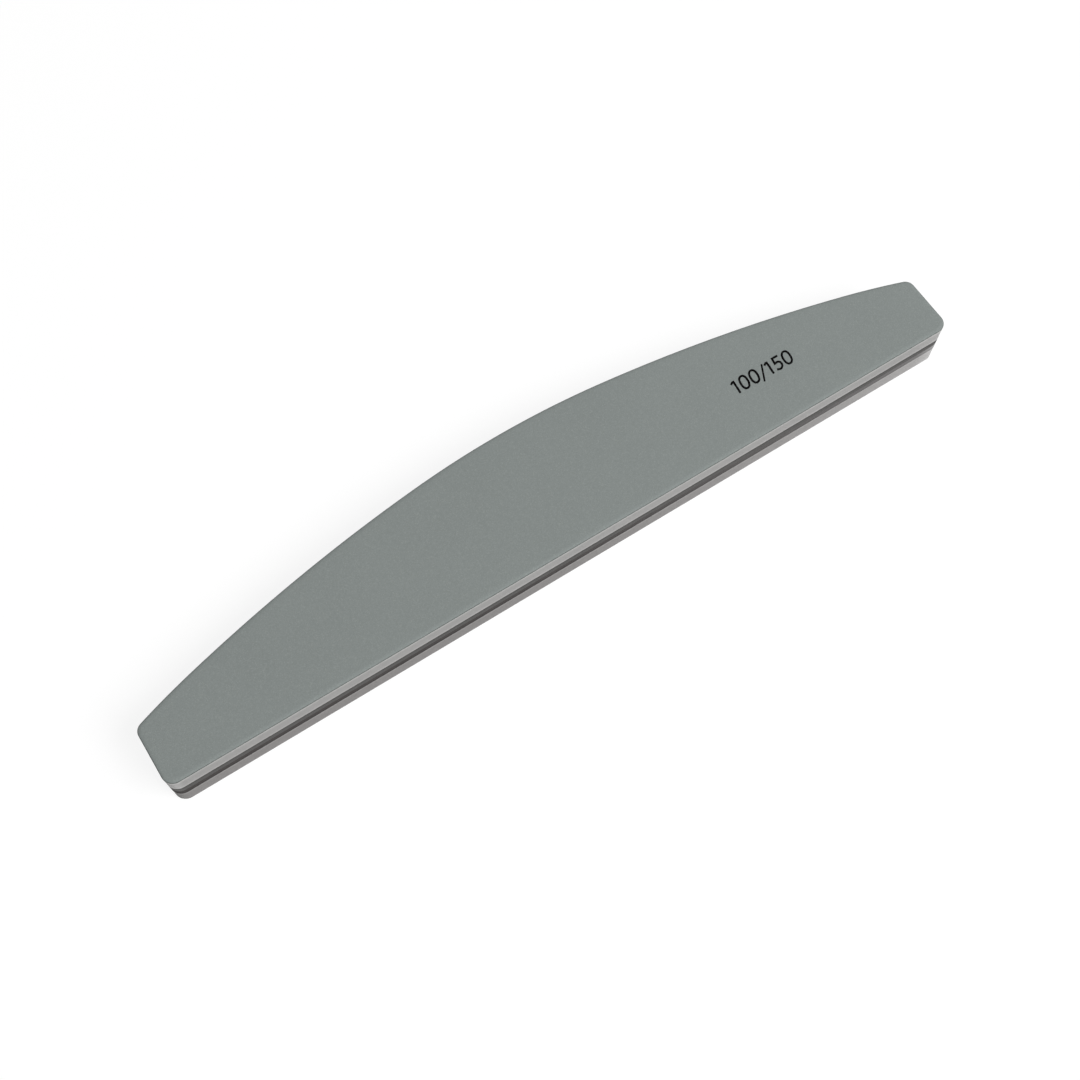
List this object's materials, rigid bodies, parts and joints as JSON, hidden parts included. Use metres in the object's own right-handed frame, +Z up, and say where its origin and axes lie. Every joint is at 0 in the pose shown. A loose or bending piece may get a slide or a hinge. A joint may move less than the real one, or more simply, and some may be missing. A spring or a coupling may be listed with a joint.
{
  "type": "half moon nail buffer",
  "caption": "Half moon nail file and buffer: soft foam pads faced with abrasive paper on a stiff laminated core, cut to a straight edge and a long arc.",
  "frame": {"origin": "under the middle of the buffer's box, on the surface that the finer face lies on", "axes": "+X along the length, +Y from the straight edge to the arc, +Z up through the layers, from the 150 face to the 100 face"},
  "size_m": [0.178, 0.0282, 0.012],
  "materials": {
    "abrasive_coat": "matte, fine grain in a dry resin coat",
    "backing_paper": "pale, matte cut edge",
    "glue_film": "thin translucent film",
    "foam": "matte, fine closed cells",
    "core_board": "satin cut edge",
    "core_bond": "thin dark film"
  },
  "bodies": {
    "root": {"abrasive_coat_100": "abrasive_coat", "backing_paper_100": "backing_paper", "paper_glue_100": "glue_film", "foam_pad_100": "foam", "pad_glue_100": "glue_film", "core_ply_100": "core_board", "core_bond": "core_bond", "core_ply_150": "core_board", "pad_glue_150": "glue_film", "foam_pad_150": "foam", "paper_glue_150": "glue_film", "backing_paper_150": "backing_paper", "abrasive_coat_150": "abrasive_coat"}
  },
  "joints": []
}
